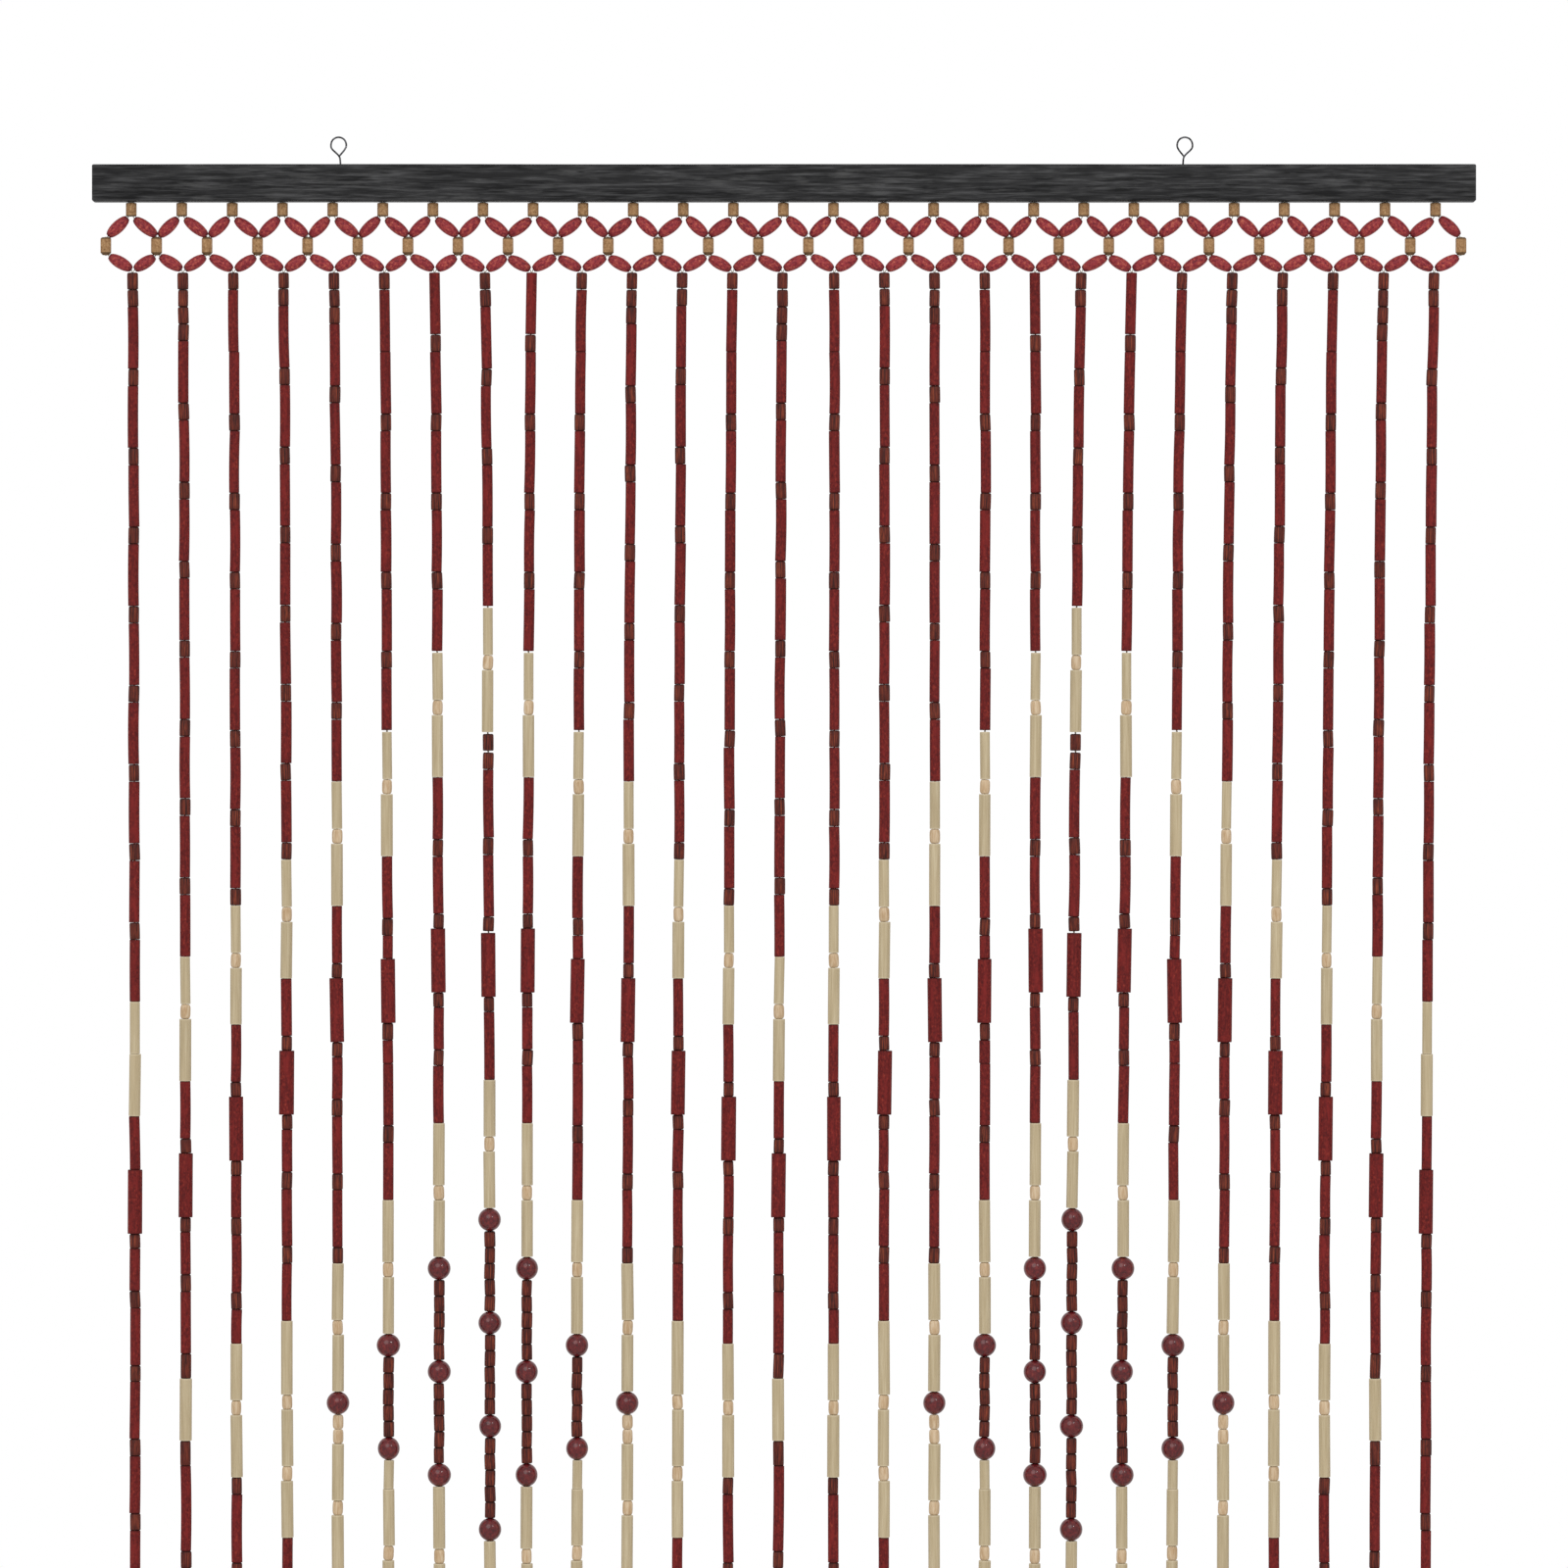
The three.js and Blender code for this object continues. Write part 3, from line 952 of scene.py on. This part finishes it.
def make_screw_eye(side, turn, material):
    """A wire eye whose shank carries a cut thread and a gimlet point."""
    centre = smooth_route(eye_route(), 24)
    sides = 20
    rings = []
    grain = []
    travelled = 0.0
    normal = Vector((0, 1, 0))
    length = len(centre)
    for i, place in enumerate(centre):
        before = centre[max(i - 1, 0)]
        after = centre[min(i + 1, length - 1)]
        travelled += (place - before).length
        along = (after - before).normalized()
        normal = (normal - along * normal.dot(along)).normalized()
        binormal = along.cross(normal)
        fade = min(1, max(0, (THREAD_TOP - place.z) / THREAD_RUN_OUT)) if i < length // 3 else 0
        point = min(1, POINT_SHARE + travelled / POINT_TAPER)
        end = min(1, CUT_END_SHARE + (length - 1 - i) / CUT_END_ROWS)
        ring = []
        local = []
        for k in range(sides):
            angle = 2 * math.pi * k / sides
            ridge = max(0, math.cos(angle - 2 * math.pi * travelled / THREAD_PITCH)) ** 3
            radius = (WIRE_RADIUS + THREAD_DEPTH * ridge * fade) * point * end
            away = normal * math.cos(angle) + binormal * math.sin(angle)
            ring.append((place + away * radius) * MM)
            local.append((radius * math.cos(angle), radius * math.sin(angle), travelled))
        rings.append(ring)
        grain.append(local)
    batch = Batch(side + "_eye_wire")
    batch.add_rings(np.array(rings), np.array(grain), 0.0, np.zeros(length), loop=False)
    placed = Matrix.Translation((eye_place(side), 0, 0)) @ Matrix.Rotation(turn, 4, "Z")
    rotation = np.array(placed.to_3x3())
    batch.points = [block @ rotation.T + np.array(placed.translation) for block in batch.points]
    batch.build(material, "rail", "steel_wire", [side + "_screw_eye"])


# --- The net --------------------------------------------------------------------------------------


# The ends of the ovals to the right of a string (1) and to its left (-1), in millimetres across and
# up from the bead that each end meets. They aren't alike, because one was strung first, and a run of
# strands that hangs to the left has them the other way round.
UPPER_OVALS = {
    "right": {1: ((2.2, -1.7), (-0.2, 1.2)), -1: ((-2.5, -1.1), (1.5, 0.9))},
    "left": {1: ((2.7, -0.9), (-1.2, 1.1)), -1: ((-1.6, -1.9), (0.5, 1.4))},
}
LOWER_OVALS = {
    "right": {1: ((-1.3, -1.1), (1.4, 2.1)), -1: ((2.2, -0.9), (-0.6, 2.2))},
    "left": {1: ((-1.6, -1.0), (0.9, 2.3)), -1: ((0.5, -1.6), (-1.0, 2.1))},
}
# A strand whose bow is below this hangs to the left
LEFT_BOW = -2


def net_x(place):
    """Where a net bead hangs, its place counted in strands. The net is pulled out a little at its ends."""
    share = (place - (STRANDS - 1) / 2) / (STRANDS / 2)
    return strand_x(place) + (NET_SHIFT + NET_STRETCH * share**7) * MM


def near(x, z, offset, rng, depth=0.0, wobble=0.15):
    """A place beside (x, z), moved by offset and depth in millimetres and a little at random."""
    across, up = offset
    return Vector(
        (
            x + (across + rng.uniform(-wobble, wobble)) * MM,
            (depth + rng.uniform(-wobble, wobble)) * MM,
            z + (up + rng.uniform(-wobble, wobble)) * MM,
        )
    )


def add_oval(ovals, thread, start, high, low, end, rng):
    """An oval from high to low, and its thread from start through it to end."""
    ovals.add_bead(oval_profile((high - low).length / MM, OVAL_RADIUS), low, high, rng, sides=18)
    thread.add_thread([start, high, low, end], THREAD_RADIUS)


def make_net(materials):
    rng = random.Random(SEED)
    spacers = Batch("net_spacers")
    upper = Batch("net_upper_ovals")
    middles = Batch("net_middle_beads")
    lower = Batch("net_lower_ovals")
    thread = Batch("net_thread")
    spacer_profile = tan_profile((SPACER_TOP - SPACER_BOTTOM) / MM, TAN_RADIUS, SPACER_CONES)
    middle_profile = tan_profile((MIDDLE_TOP - MIDDLE_BOTTOM) / MM, TAN_RADIUS, MIDDLE_CONES)
    for index in range(STRANDS):
        x = net_x(index)
        foot = Vector((x, 0, SPACER_BOTTOM))
        spacers.add_bead(spacer_profile, foot, Vector((x, 0, SPACER_TOP)), rng, sides=20)
        thread.add_thread([foot, (x, 0, UNDERSIDE + STUB_HEIGHT)], STUB_THREAD_RADIUS)
        hung_x = strand_place(index, 0, rng, 0).x
        lean = "left" if hang_of(index)[2] < LEFT_BOW else "right"
        for side in (-1, 1):
            edge = net_x(index + side / 2)
            at_top, at_middle = UPPER_OVALS[lean][side]
            high = near(x, SPACER_BOTTOM, at_top, rng)
            low = near(edge, MIDDLE_TOP, at_middle, rng, -side * UPPER_OVAL_DEPTH)
            start = (x + side * SPACER_PAIR * MM, 0, SPACER_BOTTOM + MM)
            add_oval(upper, thread, start, high, low, (edge, 0, MIDDLE_TOP - MM), rng)
            at_middle, at_strand = LOWER_OVALS[lean][side]
            high = near(edge, MIDDLE_BOTTOM, at_middle, rng)
            low = near(hung_x, STRAND_TOP, at_strand, rng, side * LOWER_OVAL_DEPTH)
            end = (hung_x + side * STRAND_PAIR * MM, 0, STRAND_TOP + STRAND_OVERSHOOT * MM)
            add_oval(lower, thread, (edge, 0, MIDDLE_BOTTOM + MM), high, low, end, rng)
    for index in range(STRANDS + 1):
        x = net_x(index - 0.5)
        foot = Vector((x, 0, MIDDLE_BOTTOM))
        head = Vector((x, 0, MIDDLE_TOP))
        middles.add_bead(middle_profile, foot, head, rng, sides=20)
        overshoot = Vector((0, 0, MIDDLE_OVERSHOOT * MM))
        thread.add_thread([foot - overshoot, head + overshoot], PAIR_THREAD_RADIUS)
    spacers.build(materials["tan_bead"], "net", "tan_bead", ["upper_net"])
    upper.build(materials["red_oval"], "net", "red_oval", ["upper_net"])
    middles.build(materials["tan_bead"], "net", "tan_bead", ["lower_net"])
    lower.build(materials["red_oval"], "net", "red_oval", ["lower_net"])
    thread.build(materials["string"], "net", "string")


# --- The strands ----------------------------------------------------------------------------------


def pattern_of(index):
    crown, zigzag, spread, heart = PATTERNS[min(abs(peak - index) for peak in PEAKS)]
    return crown + zigzag + spread + heart + spread[::-1] + zigzag[::-1]


def full_beads(index):
    """(letter, length) down the strand. A plain run follows the pattern, its last bead cut to fit."""
    beads = [(letter, BEADS[letter][1]) for letter in pattern_of(index)]
    room = (STRAND_TOP - STRAND_BOTTOM) / MM - KNOT_LENGTH - sum(length for _, length in beads)
    turn = 0
    while room > SHORTEST_CUT:
        letter = PLAIN_RUN[turn % len(PLAIN_RUN)]
        length = min(BEADS[letter][1], room)
        beads.append((letter, length))
        room -= length
        turn += 1
    letter, length = beads[-1]
    beads[-1] = (letter, length + room)
    return beads


def hang_of(index):
    """The strand's offset at its top, its move just below that, and its bow, in millimetres."""
    first, last, at_first, at_last = next(run for run in HANGS if run[0] <= index <= run[1])
    share = (index - first) / (last - first)
    return [a + (b - a) * share for a, b in zip(at_first, at_last)]


def strand_place(index, depth, rng, wobble):
    """The string this many millimetres below the strand's top."""
    length = (STRAND_TOP - STRAND_BOTTOM) / MM
    offset, settled, bow = hang_of(index)
    settling = settled * (1 - math.exp(-depth / SETTLE_DEPTH))
    aside = offset + settling + bow * math.sin(math.pi * depth / length)
    aside += rng.uniform(-wobble, wobble)
    across = strand_x(index) + aside * MM
    return Vector((across, rng.uniform(-wobble, wobble) * MM, STRAND_TOP - depth * MM))


def pivot_gap(index):
    """The gap under a strand's first bead, in millimetres. The middle strands part furthest."""
    share = (min(index, STRANDS - 1 - index) + 1) / ((STRANDS + 1) / 2)
    return LEAST_PIVOT_GAP + (MOST_PIVOT_GAP - LEAST_PIVOT_GAP) * share


def askew(rng, reach):
    """A small random move to the side, up to reach millimetres each way."""
    return Vector((rng.uniform(-reach, reach), rng.uniform(-reach, reach), 0)) * MM


def add_strand_bead(batch, letter, length, head, foot, rng):
    family, _, radius = BEADS[letter]
    crooked = CROOKED.get(family, USUAL_CROOKED)
    bow = rng.uniform(-1, 1) * length * TUBE_BOW if family == "red_tube" else 0.0
    down = (foot - head).normalized()
    trim = BEAD_GAP / 2 * MM
    nudge = askew(rng, crooked) * NUDGE_SHARE
    tilt = askew(rng, crooked) * TILT_SHARE
    top = head + down * trim + nudge + tilt
    bottom = foot - down * trim + nudge - tilt
    thickness = radius * rng.uniform(THINNEST, THICKEST)
    profile = PROFILES[family]((top - bottom).length / MM, thickness)
    batch.add_bead(profile, bottom, top, rng, sides=SIDES[family], bow=bow)


def make_first_bead(index, letter, head, foot, rng, materials):
    """The strand's first bead and the string through it, which turn on a body of their own."""
    number = strand_number(index)
    body = "top_bead_" + number
    family, _, radius = BEADS[letter]
    bead = Batch("first_bead_" + number)
    bottom = foot + Vector((0, 0, pivot_gap(index) * MM))
    profile = PROFILES[family]((head - bottom).length / MM, radius)
    bead.add_bead(profile, bottom, head, rng, sides=SIDES[family])
    bead.build(materials[SLOTS[family]], body, SLOTS[family], [body])
    above = head + Vector((0, 0, STRAND_OVERSHOOT * MM))
    below = foot + Vector((0, 0, TOP_THREAD_END * MM))
    thread = Batch("top_thread_" + number)
    thread.add_thread([above, below], PAIR_THREAD_RADIUS)
    thread.build(materials["string"], body, "string")


def knot_route(centre, size):
    """An overhand knot drawn tight: a trefoil."""
    route = []
    steps = 48
    for i in range(steps + 1):
        t = 2 * math.pi * i / steps
        across = (math.sin(t) + 2 * math.sin(2 * t)) / 3
        deep = (math.cos(t) - 2 * math.cos(2 * t)) / 3
        up = -math.sin(3 * t) * 0.7
        route.append(centre + Vector((across, deep, up)) * size)
    return route


def make_strand(index, materials):
    """One strand, from its first bead under the net down to its knot."""
    rng = strand_rng(index)
    number = strand_number(index)
    body = "strand_" + number
    batches = {family: Batch(family + "s_" + number) for family in PROFILES}
    depth = 0.0
    head = strand_place(index, 0, rng, 0.0)
    places = []
    for order, (letter, length) in enumerate(full_beads(index)):
        depth += length
        foot = strand_place(index, depth, rng, STRING_WOBBLE if order else FIRST_WOBBLE)
        family = BEADS[letter][0]
        if order == 0:
            make_first_bead(index, letter, head, foot, rng, materials)
        elif family != "bare":
            add_strand_bead(batches[family], letter, length, head, foot, rng)
        places.append(foot)
        head = foot
    thread = Batch("thread_" + number)
    start = places[0] + Vector((0, 0, STRAND_THREAD_START * MM))
    thread.add_thread([start] + places, PAIR_THREAD_RADIUS)
    knot_centre = places[-1] - Vector((0, 0, KNOT_LENGTH * 0.5 * MM))
    thread.add_thread(knot_route(knot_centre, KNOT_SIZE * MM), KNOT_THREAD_RADIUS)
    for family, batch in batches.items():
        batch.build(materials[SLOTS[family]], body, SLOTS[family], [body])
    thread.build(materials["string"], body, "string", [body])


# --- The studio -----------------------------------------------------------------------------------


def make_floor():
    """A pale floor that fades out into the white around it."""
    half = FLOOR_HALF
    points = [(-half, -half, 0), (half, -half, 0), (half, half, 0), (-half, half, 0)]
    mesh = bpy.data.meshes.new("floor")
    mesh.from_pydata(points, [], [(0, 1, 2, 3)])
    shader = Shader("floor")
    place = shader.add("TexCoord").outputs["Object"]
    distance = shader.add("VectorMath", operation="LENGTH")
    shader.feed(distance.inputs[0], place)
    cover = shader.level(distance.outputs["Value"], half * 0.9, half * 0.15)
    shader.feed(shader.surface.inputs["Alpha"], cover)
    mesh.materials.append(shader.finish(rgb(232, 232, 230), 0.9))
    floor = bpy.data.objects.new("floor", mesh)
    floor.location.z = STRAND_BOTTOM - FLOOR_DROP
    bpy.context.scene.collection.objects.link(floor)


def add_light(name, kind, place, target, energy, **settings):
    light = bpy.data.lights.new(name, kind)
    light.energy = energy
    for setting, value in settings.items():
        setattr(light, setting, value)
    holder = bpy.data.objects.new(name, light)
    holder.location = place
    holder.rotation_mode = "QUATERNION"
    holder.rotation_quaternion = (Vector(target) - Vector(place)).to_track_quat("-Z", "Y")
    bpy.context.scene.collection.objects.link(holder)


def light_studio():
    """Even white light all round, a soft key from the upper left, and a small lamp for the lacquer."""
    world = bpy.data.worlds.new("studio")
    bpy.context.scene.world = world
    world.use_nodes = True
    nodes = world.node_tree.nodes
    links = world.node_tree.links
    background = nodes["Background"]
    background.inputs["Color"].default_value = (1, 1, 1, 1)
    rays = nodes.new("ShaderNodeLightPath")
    strength = nodes.new("ShaderNodeMapRange")
    strength.inputs["To Min"].default_value = AMBIENT
    strength.inputs["To Max"].default_value = 1.0
    links.new(rays.outputs["Is Camera Ray"], strength.inputs["Value"])
    links.new(strength.outputs["Result"], background.inputs["Strength"])
    add_light("key", "SUN", (-0.9, -3.0, 1.6), (0, 0, -0.4), KEY_STRENGTH, angle=math.radians(KEY_ANGLE))
    add_light("glint", "AREA", (1.5, -2.6, 1.2), (0, 0, -0.7), GLINT_POWER, size=GLINT_SIZE)
    bpy.context.scene.view_settings.view_transform = "Standard"


def make_camera():
    """A long lens square to the rail, framing its whole width and the upper half of the strands."""
    camera = bpy.data.cameras.new("camera")
    camera.lens = LENS
    camera.sensor_width = SENSOR
    camera.clip_end = 200
    holder = bpy.data.objects.new("camera", camera)
    holder.location = (0, -FRAME_WIDTH * LENS / SENSOR, CAMERA_HEIGHT)
    holder.rotation_euler = (math.pi / 2, 0, 0)
    bpy.context.scene.collection.objects.link(holder)
    bpy.context.scene.camera = holder


make_camera()
materials = {
    "stained_rail": rail_material(),
    "steel_wire": steel_material(),
    "red_oval": oval_material(),
    "tan_bead": tan_material(),
    "barrel_wood": barrel_material(),
    "red_tube": red_tube_material(),
    "cream_tube": cream_material(),
    "natural_bead": natural_material(),
    "maroon_ball": ball_material(),
    "string": string_material(),
}
make_rail(materials["stained_rail"])
make_screw_eye("left", 0, materials["steel_wire"])
make_screw_eye("right", math.pi, materials["steel_wire"])
make_net(materials)
for strand in range(STRANDS):
    make_strand(strand, materials)
make_floor()
light_studio()
